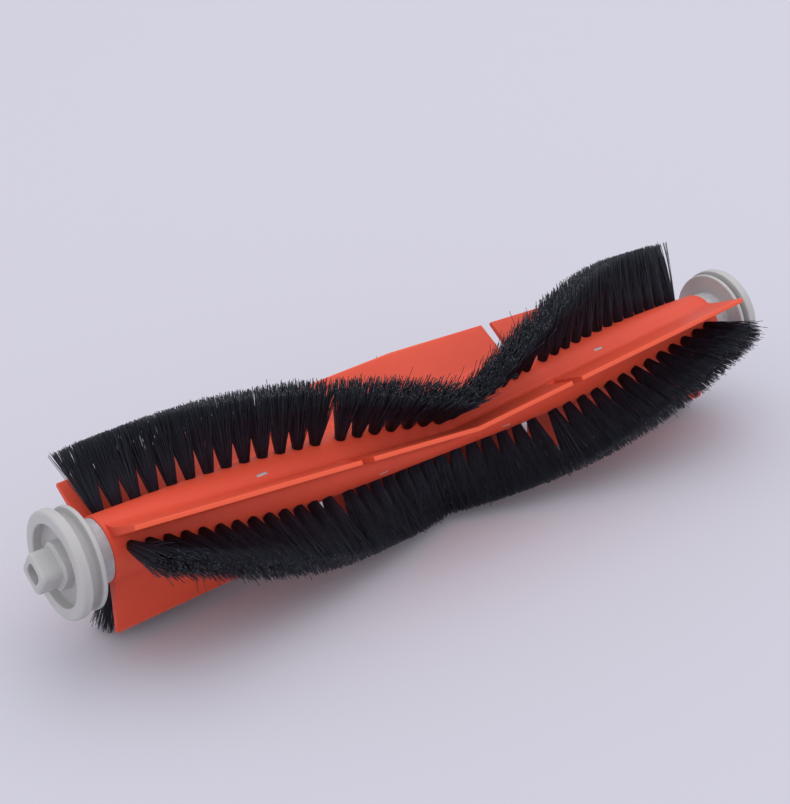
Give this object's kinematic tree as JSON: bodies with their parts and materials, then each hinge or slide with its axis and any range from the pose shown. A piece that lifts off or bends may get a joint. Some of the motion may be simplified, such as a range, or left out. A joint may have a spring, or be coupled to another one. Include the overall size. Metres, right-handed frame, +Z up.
{
  "type": "vacuum roller brush",
  "caption": "Robot vacuum main roller: plastic core in a soft sleeve with V blades, V rows of bristle tufts, a square drive peg at one end and a free-turning bearing block at the other.",
  "frame": {"origin": "on the roller's axis, halfway between the end of the drive peg and the end of the bearing pin", "axes": "+X along the roller's axis, from the drive peg to the bearing block; +Z up as it lies on a table; the open side of the front blade faces -Y"},
  "size_m": [0.1792, 0.0404, 0.0402],
  "materials": {
    "cap_grey": "satin moulded",
    "core_grey": "satin moulded",
    "block_grey": "satin moulded",
    "orange_rubber": "matt soft skin",
    "bristle_black": "drawn nylon",
    "anchor_brass": "drawn wire",
    "pin_steel": "ground",
    "washer_white": "plain",
    "bush_bronze": "sintered"
  },
  "bodies": {
    "roller": {"roller_core": "core_grey", "blade_sleeve": "orange_rubber", "drive_end_cap": "cap_grey", "bearing_end_cap": "cap_grey", "bearing_pin": "pin_steel", "thrust_washer": "washer_white", "retaining_clip": "pin_steel", "bristle_row_1_left": "bristle_black", "bristle_row_1_middle": "bristle_black", "bristle_row_1_right": "bristle_black", "bristle_row_2_left": "bristle_black", "bristle_row_2_middle": "bristle_black", "bristle_row_2_right": "bristle_black", "bristle_row_3_left": "bristle_black", "bristle_row_3_middle": "bristle_black", "bristle_row_3_right": "bristle_black", "tuft_anchors_row_1": "anchor_brass", "tuft_anchors_row_2": "anchor_brass", "tuft_anchors_row_3": "anchor_brass"},
    "bearing": {"bearing_block": "block_grey", "bearing_bush": "bush_bronze"}
  },
  "joints": [
    {"name": "bearing_spin", "type": "hinge", "parent": "roller", "child": "bearing", "pos_m": [0.08478, 0, 0], "axis": [1, 0, 0], "continuous": true}
  ]
}
